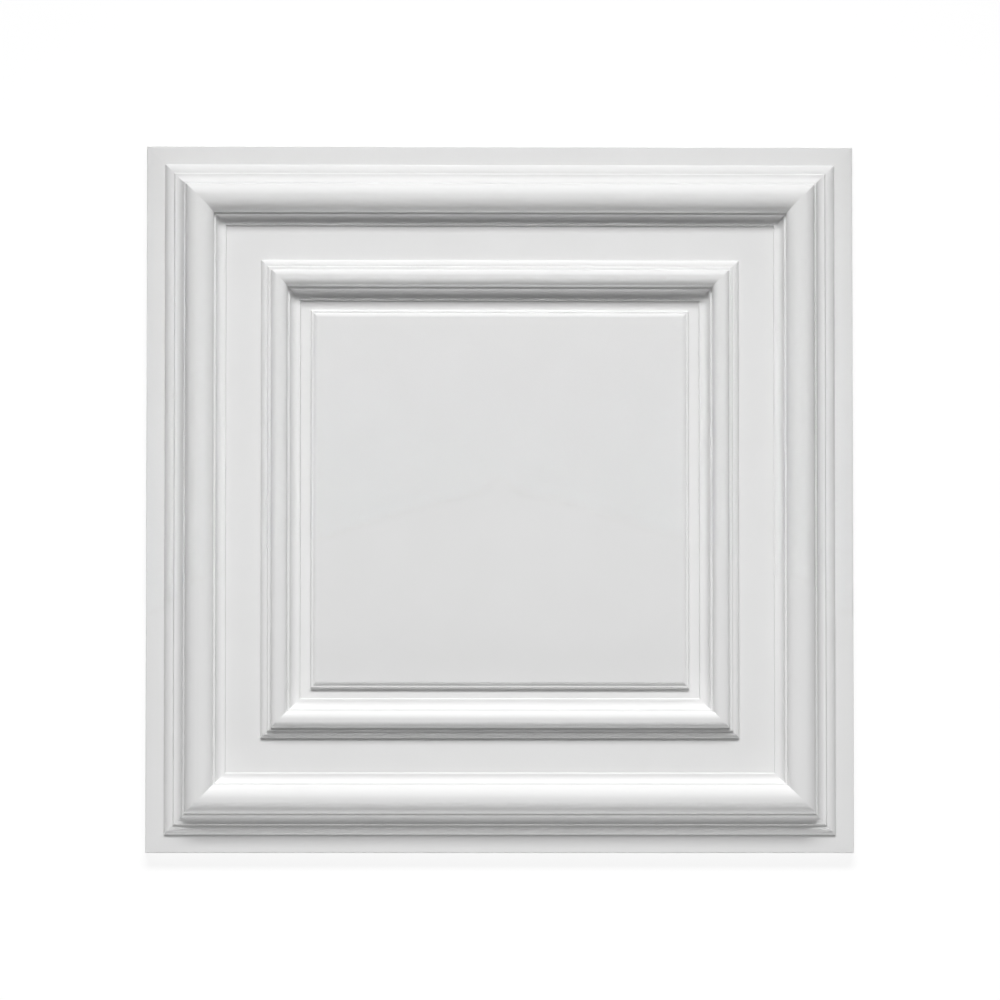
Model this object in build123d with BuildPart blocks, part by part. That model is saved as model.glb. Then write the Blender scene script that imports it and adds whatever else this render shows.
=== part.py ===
from build123d import *
import os

# Coffered ceiling panel, moulded in one piece: two mitred frames round a raised centre.
# Millimetres. The panel lies on its flat back, with its decorated face up. The origin is
# the centre of the back, and +Z points out of the face.

# Panel: one square for a 600 mm ceiling grid, with its levels measured from the back
panel_side = 595.0
rim_width = 15.4
rim_thickness = 11.0
field_width = 29.2
field_thickness = 12.6
channel_width = 8.4
channel_thickness = 5.0

# Moulding details that every step shares: sideways lean for each millimetre of a riser's
# height, and the radius of its edge
draft = 0.15
arris_radius = 0.8

# Outer frame, from its outer foot over the roll to the field
outer_foot_rise = 1.3
outer_ovolo_width = 6.4
outer_ovolo_height = 3.9
outer_ovolo_shelf = 1.2
outer_step_rise = 1.9
outer_step_shelf = 1.5
outer_cavetto_width = 6.1
outer_cavetto_height = 5.2
outer_ledge = 1.7
outer_neck_rise = 1.2
outer_roll_width = 9.9
outer_roll_height = 9.6
outer_crest = 1.0
outer_shoulder_width = 12.2
outer_shoulder_height = 8.6
outer_inner_ledge = 1.8
outer_lip_fall = 2.1
outer_cove_width = 5.9
outer_cove_height = 5.3
outer_toe = 2.2
outer_toe_fall = 1.8

# Inner frame, from its outer foot over the roll to the channel
inner_foot_rise = 1.5
inner_ovolo_width = 4.4
inner_ovolo_height = 3.2
inner_ovolo_shelf = 0.9
inner_step_rise = 1.7
inner_ledge = 2.7
inner_neck_rise = 1.6
inner_roll_width = 4.9
inner_roll_height = 4.2
inner_crest = 1.8
inner_shoulder_width = 6.3
inner_shoulder_height = 5.4
inner_inner_ledge = 2.0
inner_lip_fall = 2.0
inner_cove_width = 6.0
inner_cove_height = 5.5
inner_toe = 2.4
inner_toe_fall = 2.4

# Raised centre, from the channel up to its flat
centre_step_rise = 3.4
centre_bead = 1.9
centre_ovolo_width = 3.7
centre_ovolo_height = 1.9


# The section is drawn from the rim towards the centre. Each function draws one stretch
# from a point and returns the point where that stretch ends.
def flat(start, width):
    end = start + Vector(-width, 0)
    Line(start, end)
    return end


def riser(start, rise):
    end = start + Vector(-draft * abs(rise), rise)
    Line(start, end)
    return end


def curve_to_level(start, width, rise):
    end = start + Vector(-width, rise)
    TangentArc(end, start, tangent=(1, 0))
    return end


def curve_from_level(start, width, rise):
    end = start + Vector(-width, rise)
    TangentArc(start, end, tangent=(-1, 0))
    return end


half_side = panel_side / 2
arrises = []

with BuildPart() as quarter:
    with BuildSketch(Plane.XZ) as section:
        with BuildLine():
            # Back and rim
            back_edge = Vector(half_side, 0)
            Line((0, 0), back_edge)
            rim_edge = Vector(half_side, rim_thickness)
            Line(back_edge, rim_edge)
            arrises.append(rim_edge)
            point = flat(rim_edge, rim_width)

            # Outer frame, rising
            point = riser(point, outer_foot_rise)
            point = curve_to_level(point, outer_ovolo_width, outer_ovolo_height)
            point = flat(point, outer_ovolo_shelf)
            point = riser(point, outer_step_rise)
            arrises.append(point)
            point = flat(point, outer_step_shelf)
            point = curve_from_level(point, outer_cavetto_width, outer_cavetto_height)
            arrises.append(point)
            point = flat(point, outer_ledge)
            point = riser(point, outer_neck_rise)
            point = curve_to_level(point, outer_roll_width, outer_roll_height)
            point = flat(point, outer_crest)

            # Outer frame, falling to the field
            outer_lip_top = field_thickness + outer_toe_fall + outer_cove_height + outer_lip_fall
            point = curve_from_level(point, outer_shoulder_width, -outer_shoulder_height)
            point = riser(point, outer_lip_top - point.Y)
            point = flat(point, outer_inner_ledge)
            arrises.append(point)
            point = riser(point, -outer_lip_fall)
            point = curve_to_level(point, outer_cove_width, -outer_cove_height)
            point = flat(point, outer_toe)
            arrises.append(point)
            point = riser(point, -outer_toe_fall)
            point = flat(point, field_width)

            # Inner frame, rising
            point = riser(point, inner_foot_rise)
            point = curve_to_level(point, inner_ovolo_width, inner_ovolo_height)
            point = flat(point, inner_ovolo_shelf)
            point = riser(point, inner_step_rise)
            arrises.append(point)
            point = flat(point, inner_ledge)
            point = riser(point, inner_neck_rise)
            point = curve_to_level(point, inner_roll_width, inner_roll_height)
            point = flat(point, inner_crest)

            # Inner frame, falling to the channel
            inner_lip_top = channel_thickness + inner_toe_fall + inner_cove_height + inner_lip_fall
            point = curve_from_level(point, inner_shoulder_width, -inner_shoulder_height)
            point = riser(point, inner_lip_top - point.Y)
            point = flat(point, inner_inner_ledge)
            arrises.append(point)
            point = riser(point, -inner_lip_fall)
            point = curve_to_level(point, inner_cove_width, -inner_cove_height)
            point = flat(point, inner_toe)
            arrises.append(point)
            point = riser(point, -inner_toe_fall)
            point = flat(point, channel_width)

            # Raised centre
            point = riser(point, centre_step_rise)
            arrises.append(point)
            point = flat(point, centre_bead)
            point = curve_to_level(point, centre_ovolo_width, centre_ovolo_height)
            point = flat(point, point.X)
            Line(point, (0, 0))
        make_face()
        corners = [section.vertices().sort_by_distance(arris)[0] for arris in arrises]
        fillet(corners, radius=arris_radius)
    extrude(amount=half_side, both=True)
    split(bisect_by=Plane(origin=(0, 0, 0), z_dir=(1, -1, 0)), keep=Keep.TOP)
    split(bisect_by=Plane(origin=(0, 0, 0), z_dir=(1, 1, 0)), keep=Keep.TOP)

# Four lengths of the section meet on their mitres as one square moulding
with BuildPart() as panel:
    with PolarLocations(0, 4):
        add(quarter.part)
panel.part.label = "ceiling_panel"

os.makedirs("parts", exist_ok=True)
export_step(panel.part, "parts/ceiling_panel.step")
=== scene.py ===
import math

import bpy
from mathutils import Matrix, Vector


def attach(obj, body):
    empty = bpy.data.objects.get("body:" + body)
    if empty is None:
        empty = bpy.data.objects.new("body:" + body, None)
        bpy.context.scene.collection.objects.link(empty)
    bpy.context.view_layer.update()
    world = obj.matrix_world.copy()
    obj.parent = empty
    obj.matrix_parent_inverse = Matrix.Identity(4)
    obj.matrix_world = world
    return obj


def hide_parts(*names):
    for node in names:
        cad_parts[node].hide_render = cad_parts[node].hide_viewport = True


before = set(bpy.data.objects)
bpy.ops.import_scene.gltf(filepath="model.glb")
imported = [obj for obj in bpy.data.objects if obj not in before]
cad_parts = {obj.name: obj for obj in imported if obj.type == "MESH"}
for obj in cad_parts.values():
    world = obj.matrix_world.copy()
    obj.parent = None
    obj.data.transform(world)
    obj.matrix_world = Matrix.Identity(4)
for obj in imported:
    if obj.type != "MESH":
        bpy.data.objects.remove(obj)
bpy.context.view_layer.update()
scene = bpy.context.scene

MM = 0.001

# Section of the moulding in millimetres, the same as in the solid.
# A curve is given by its width and its height.
PANEL_SIDE = 595.0
RIM_WIDTH = 15.4
RIM_THICKNESS = 11.0
FIELD_WIDTH = 29.2
FIELD_THICKNESS = 12.6
CHANNEL_WIDTH = 8.4
CHANNEL_THICKNESS = 5.0
DRAFT = 0.15
ARRIS_RADIUS = 0.8
OUTER_FRAME = {
    "foot": 1.3, "ovolo": (6.4, 3.9), "ovolo_shelf": 1.2, "step": 1.9, "step_shelf": 1.5,
    "cavetto": (6.1, 5.2), "ledge": 1.7, "neck": 1.2, "roll": (9.9, 9.6), "crest": 1.0,
    "shoulder": (12.2, 8.6), "inner_ledge": 1.8, "lip": 2.1, "cove": (5.9, 5.3), "toe": 2.2,
    "toe_fall": 1.8}
INNER_FRAME = {
    "foot": 1.5, "ovolo": (4.4, 3.2), "ovolo_shelf": 0.9, "step": 1.7, "ledge": 2.7, "neck": 1.6,
    "roll": (4.9, 4.2), "crest": 1.8, "shoulder": (6.3, 5.4), "inner_ledge": 2.0, "lip": 2.0,
    "cove": (6.0, 5.5), "toe": 2.4, "toe_fall": 2.4}
RAISED_CENTRE = {"step": 3.4, "bead": 1.9, "ovolo": (3.7, 1.9)}

# How finely the section is drawn: millimetres along a curve, steps round an arris, and the
# bend from which an edge is shaded as sharp
ARC_STEP = 0.35
FEWEST_ARC_STEPS = 6
ARRIS_STEPS = 6
SHARP_ANGLE = math.radians(28)

# Finishes: colours as red, green, blue and alpha, noises as scale and detail, lengths in metres
WHITE = (1, 1, 1, 1)
PAINT_LOW, PAINT_HIGH = (0.795, 0.795, 0.792, 1), (0.825, 0.825, 0.825, 1)
PAINT_CLOUD = (22.0, 2.0)
PAINT_PEEL = (700.0, 3.0)
PAINT_EDGE = 0.0004
PAINT_GLOSS = 0.22
FOAM_LOW, FOAM_HIGH = (0.70, 0.66, 0.55, 1), (0.88, 0.85, 0.77, 1)
FOAM_PORES = (420.0, 5.0)
PORE_DEPTH = 3.0
BUMP_STRENGTH = 0.12
BUMP_HEIGHT = 0.0003
ROUGHNESS, CLOUD_ROUGHNESS, FOAM_ROUGHNESS = 0.64, 0.1, 0.25

# Floor and studio: the floor's shadow fades out between two distances from the panel
FLOOR_REACH = 6.0
FLOOR_LEVEL = -0.0005
FLOOR_TONE = (0.8, 0.8, 0.8, 1)
SHADOW_TONE = (0.2, 0.2, 0.2, 1)
SHADOW_GLOW = 0.85
SHADOW_FADE = (0.5, 1.6)
STUDIO_LIGHT = (0.08, 0.08, 0.08, 1)

# Softboxes: distance in metres towards the top of the photograph, or towards its bottom where
# negative, elevation and spread in degrees, the point aimed at, depth in metres and power
LAMP_WIDTH = 2.0
SOFTBOXES = {
    "key": {"away": 2.0, "elevation": 45, "spread": 90, "aim": (0, -1.2, 0), "depth": 0.55, "power": 17.7},
    "near_fill": {"away": -0.87, "elevation": 8.5, "spread": 180, "aim": (0, -0.2, 0.02), "depth": 0.15,
                  "power": 2.8},
    "high_fill": {"away": -2.0, "elevation": 38, "spread": 180, "aim": (0, 0, 0), "depth": 0.6,
                  "power": 3.9}}

# Camera: distance, lean from straight above, side of the square it takes in, and its aim
EYE_AWAY = 6.0
EYE_LEAN = Vector((-0.02, -0.055, 1)).normalized()
FRAME_SIDE = 0.8416
EYE_AIM = Vector((0, -0.0009, RIM_THICKNESS * MM))
SENSOR = 36
CLIP_END = 100


class Section:
    """Half the panel's section as fine points, drawn from the rim towards the centre."""

    def __init__(self, start):
        self.points = [start]
        self.arrises = []

    def flat(self, width):
        r, z = self.points[-1]
        self.points.append((r - width, z))

    def riser(self, rise):
        r, z = self.points[-1]
        self.points.append((r - DRAFT * abs(rise), z + rise))

    def arris(self):
        self.arrises.append(len(self.points) - 1)

    def curve(self, width, rise, level_at_end):
        """Arc that lies level at one of its ends: ovolo, roll, cavetto or cove."""
        r, z = self.points[-1]
        radius = (width ** 2 + rise ** 2) / (2 * abs(rise))
        sweep = 2 * math.atan2(abs(rise), width)
        steps = max(FEWEST_ARC_STEPS, math.ceil(radius * sweep / ARC_STEP))
        side = math.copysign(1, rise)
        for step in range(1, steps + 1):
            turn = sweep * step / steps
            if level_at_end:
                back = sweep - turn
                self.points.append((r - width + radius * math.sin(back),
                                    z + rise - side * radius * (1 - math.cos(back))))
            else:
                self.points.append((r - radius * math.sin(turn),
                                    z + side * radius * (1 - math.cos(turn))))

    def fall_of_frame(self, moulding, floor_level):
        """The inner side of a frame, from its crest down to the level inside it."""
        width, fall = moulding["shoulder"]
        self.curve(width, -fall, False)
        cove_width, cove_fall = moulding["cove"]
        lip_top = floor_level + moulding["toe_fall"] + cove_fall + moulding["lip"]
        self.riser(lip_top - self.points[-1][1])
        self.flat(moulding["inner_ledge"])
        self.arris()
        self.riser(-moulding["lip"])
        self.curve(cove_width, -cove_fall, True)
        self.flat(moulding["toe"])
        self.arris()
        self.riser(-moulding["toe_fall"])

    def softened(self, radius):
        """The points with each arris rounded off."""
        rounded = []
        for index, point in enumerate(self.points):
            if index not in self.arrises:
                rounded.append(point)
                continue
            corner = Vector(point)
            into = (Vector(self.points[index - 1]) - corner).normalized() * radius
            away = (Vector(self.points[index + 1]) - corner).normalized() * radius
            for step in range(ARRIS_STEPS + 1):
                s = step / ARRIS_STEPS
                rounded.append(tuple(corner + into * (1 - s) ** 2 + away * s ** 2))
        return rounded


def draw_section():
    """The whole section: back edge, rim, outer frame, field, inner frame, channel, centre."""
    section = Section((PANEL_SIDE / 2, 0.0))
    section.points.append((PANEL_SIDE / 2, RIM_THICKNESS))
    section.arris()
    section.flat(RIM_WIDTH)
    section.riser(OUTER_FRAME["foot"])
    section.curve(*OUTER_FRAME["ovolo"], True)
    section.flat(OUTER_FRAME["ovolo_shelf"])
    section.riser(OUTER_FRAME["step"])
    section.arris()
    section.flat(OUTER_FRAME["step_shelf"])
    section.curve(*OUTER_FRAME["cavetto"], False)
    section.arris()
    section.flat(OUTER_FRAME["ledge"])
    section.riser(OUTER_FRAME["neck"])
    section.curve(*OUTER_FRAME["roll"], True)
    section.flat(OUTER_FRAME["crest"])
    section.fall_of_frame(OUTER_FRAME, FIELD_THICKNESS)
    section.flat(FIELD_WIDTH)
    section.riser(INNER_FRAME["foot"])
    section.curve(*INNER_FRAME["ovolo"], True)
    section.flat(INNER_FRAME["ovolo_shelf"])
    section.riser(INNER_FRAME["step"])
    section.arris()
    section.flat(INNER_FRAME["ledge"])
    section.riser(INNER_FRAME["neck"])
    section.curve(*INNER_FRAME["roll"], True)
    section.flat(INNER_FRAME["crest"])
    section.fall_of_frame(INNER_FRAME, CHANNEL_THICKNESS)
    section.flat(CHANNEL_WIDTH)
    section.riser(RAISED_CENTRE["step"])
    section.arris()
    section.flat(RAISED_CENTRE["bead"])
    section.curve(*RAISED_CENTRE["ovolo"], True)
    return section.softened(ARRIS_RADIUS)


def mould_panel(section):
    """Four mitred lengths of the section, closed by the flat centre and the flat back."""
    corners = ((1, 1), (-1, 1), (-1, -1), (1, -1))
    verts = [(x * r * MM, y * r * MM, z * MM) for r, z in section for x, y in corners]
    faces = []
    for ring in range(len(section) - 1):
        for side in range(4):
            ahead = (side + 1) % 4
            low, high = 4 * ring, 4 * (ring + 1)
            faces.append((low + side, low + ahead, high + ahead, high + side))
    top = 4 * (len(section) - 1)
    faces.append((top, top + 1, top + 2, top + 3))
    faces.append((3, 2, 1, 0))
    mesh = bpy.data.meshes.new("moulded_panel")
    mesh.from_pydata(verts, [], faces)
    mesh.validate()
    mesh.shade_smooth()
    mesh.set_sharp_from_angle(angle=SHARP_ANGLE)
    # A run across the rings is a mitre
    sharp = mesh.attributes["sharp_edge"].data
    for edge in mesh.edges:
        a, b = edge.vertices
        if a % 4 == b % 4:
            sharp[edge.index].value = True
    panel = bpy.data.objects.new("moulded_panel", mesh)
    scene.collection.objects.link(panel)
    return panel


class Socket:
    """One output of a finish's nodes, with arithmetic that adds Math nodes."""

    def __init__(self, finish, output):
        self.finish = finish
        self.output = output

    def maths(self, operation, left, right):
        return self.finish.node("ShaderNodeMath", {"operation": operation}, {0: left, 1: right})

    def __add__(self, other):
        return self.maths("ADD", self, other)

    __radd__ = __add__

    def __sub__(self, other):
        return self.maths("SUBTRACT", self, other)

    def __rsub__(self, other):
        return self.maths("SUBTRACT", other, self)

    def __mul__(self, other):
        return self.maths("MULTIPLY", self, other)

    __rmul__ = __mul__

    def __lt__(self, other):
        return self.maths("LESS_THAN", self, other)


class Finish:
    """The nodes of one material, or of the studio round the panel, added one by one."""

    def __init__(self, owner):
        owner.use_nodes = True
        self.tree = owner.node_tree
        self.tree.nodes.clear()

    def node(self, kind, settings=None, sockets=None, output=0):
        node = self.tree.nodes.new(kind)
        for name, value in (settings or {}).items():
            setattr(node, name, value)
        for name, value in (sockets or {}).items():
            if isinstance(value, Socket):
                self.tree.links.new(value.output, node.inputs[name])
            else:
                node.inputs[name].default_value = value
        return Socket(self, node.outputs[output]) if node.outputs else None

    def noise(self, place, scale, detail):
        return self.node("ShaderNodeTexNoise", {}, {"Vector": place, "Scale": scale, "Detail": detail})

    def mixed(self, factor, first, second):
        return self.node("ShaderNodeMix", {"data_type": "RGBA"},
                         {"Factor": factor, 6: first, 7: second}, output=2)

    def seen(self):
        """1 where the camera sees a surface, also in gloss or through glass, and 0 for its light."""
        rays = [self.node("ShaderNodeLightPath", output=f"Is {kind} Ray")
                for kind in ("Camera", "Glossy", "Transmission")]
        return self.node("ShaderNodeMath", {"operation": "ADD", "use_clamp": True},
                         {0: rays[0], 1: rays[1] + rays[2]})


def satin_white_paint():
    """Sprayed paint with a faint orange peel, and bare cut foam where the panel lies on its back."""
    material = bpy.data.materials.new("satin_white_paint")
    finish = Finish(material)
    place = finish.node("ShaderNodeTexCoord", output="Object")
    height = finish.node("ShaderNodeSeparateXYZ", {}, {"Vector": place}, output="Z")
    back = height < PAINT_EDGE
    peel = finish.noise(place, *PAINT_PEEL)
    cloud = finish.noise(place, *PAINT_CLOUD)
    pores = finish.noise(place, *FOAM_PORES)
    paint = finish.mixed(cloud, PAINT_LOW, PAINT_HIGH)
    foam = finish.mixed(pores, FOAM_LOW, FOAM_HIGH)
    bump = finish.node("ShaderNodeBump", {}, {
        "Height": peel + back * (PORE_DEPTH * pores - peel),
        "Strength": BUMP_STRENGTH, "Distance": BUMP_HEIGHT})
    shader = finish.node("ShaderNodeBsdfPrincipled", {}, {
        "Base Color": finish.mixed(back, paint, foam),
        "Roughness": ROUGHNESS + CLOUD_ROUGHNESS * cloud + FOAM_ROUGHNESS * back,
        "Specular IOR Level": PAINT_GLOSS, "Normal": bump})
    finish.node("ShaderNodeOutputMaterial", {}, {"Surface": shader})
    return material


def pale_floor():
    """White to the eye, with the panel's shadow on it, and a plain pale floor to the light."""
    material = bpy.data.materials.new("pale_floor")
    finish = Finish(material)
    place = finish.node("ShaderNodeTexCoord", output="Object")
    away = finish.node("ShaderNodeVectorMath", {"operation": "LENGTH"}, {0: place}, output="Value")
    far = finish.node("ShaderNodeMapRange", {"interpolation_type": "SMOOTHSTEP"}, {
        "Value": away, "From Min": SHADOW_FADE[0], "From Max": SHADOW_FADE[1]})
    plain = finish.node("ShaderNodeBsdfDiffuse", {}, {"Color": FLOOR_TONE})
    shaded = finish.node("ShaderNodeBsdfDiffuse", {}, {"Color": SHADOW_TONE})
    glow = finish.node("ShaderNodeEmission", {}, {"Color": WHITE, "Strength": SHADOW_GLOW})
    near_white = finish.node("ShaderNodeAddShader", {}, {0: shaded, 1: glow})
    far_white = finish.node("ShaderNodeEmission", {}, {"Color": WHITE, "Strength": 1.0})
    white = finish.node("ShaderNodeMixShader", {}, {"Fac": far, 1: near_white, 2: far_white})
    shader = finish.node("ShaderNodeMixShader", {}, {"Fac": finish.seen(), 1: plain, 2: white})
    finish.node("ShaderNodeOutputMaterial", {}, {"Surface": shader})
    return material


def lay_floor():
    mesh = bpy.data.meshes.new("floor")
    mesh.from_pydata([(x * FLOOR_REACH, y * FLOOR_REACH, FLOOR_LEVEL)
                      for x, y in ((-1, -1), (1, -1), (1, 1), (-1, 1))], [], [(0, 1, 2, 3)])
    floor = bpy.data.objects.new("floor", mesh)
    scene.collection.objects.link(floor)
    return floor


def softbox(name, away, elevation, spread, aim, depth, power):
    """A wide soft lamp that lights the panel and is not seen itself."""
    lamp = bpy.data.lights.new(name, "AREA")
    lamp.shape = "RECTANGLE"
    lamp.size, lamp.size_y = LAMP_WIDTH, depth
    lamp.energy = power
    lamp.spread = math.radians(spread)
    box = bpy.data.objects.new(name, lamp)
    rise = math.radians(elevation)
    box.location = (0, away * math.cos(rise), abs(away) * math.sin(rise))
    box.rotation_euler = (Vector(aim) - box.location).to_track_quat("-Z", "Y").to_euler()
    box.visible_camera = False
    scene.collection.objects.link(box)


def white_studio():
    """White round the panel to the eye, and a dim even light on it."""
    world = bpy.data.worlds.new("studio")
    scene.world = world
    studio = Finish(world)
    dim = studio.node("ShaderNodeBackground", {}, {"Color": STUDIO_LIGHT})
    white = studio.node("ShaderNodeBackground", {}, {"Color": WHITE})
    shader = studio.node("ShaderNodeMixShader", {}, {"Fac": studio.seen(), 1: dim, 2: white})
    studio.node("ShaderNodeOutputWorld", {}, {"Surface": shader})


def set_camera():
    camera = bpy.data.cameras.new("camera")
    camera.sensor_width = SENSOR
    camera.lens = SENSOR * EYE_AWAY / FRAME_SIDE
    camera.clip_end = CLIP_END
    eye = bpy.data.objects.new("camera", camera)
    eye.location = EYE_AIM + EYE_AWAY * EYE_LEAN
    right = Vector((0, 1, 0)).cross(EYE_LEAN).normalized()
    eye.rotation_euler = Matrix((right, EYE_LEAN.cross(right), EYE_LEAN)).transposed().to_euler()
    scene.collection.objects.link(eye)
    scene.camera = eye


panel = mould_panel(draw_section())
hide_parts("ceiling_panel")
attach(panel, "root")
panel.data.materials.append(satin_white_paint())

floor = lay_floor()
floor.data.materials.append(pale_floor())

for name, settings in SOFTBOXES.items():
    softbox(name, **settings)
white_studio()
set_camera()
scene.view_settings.view_transform = "Standard"
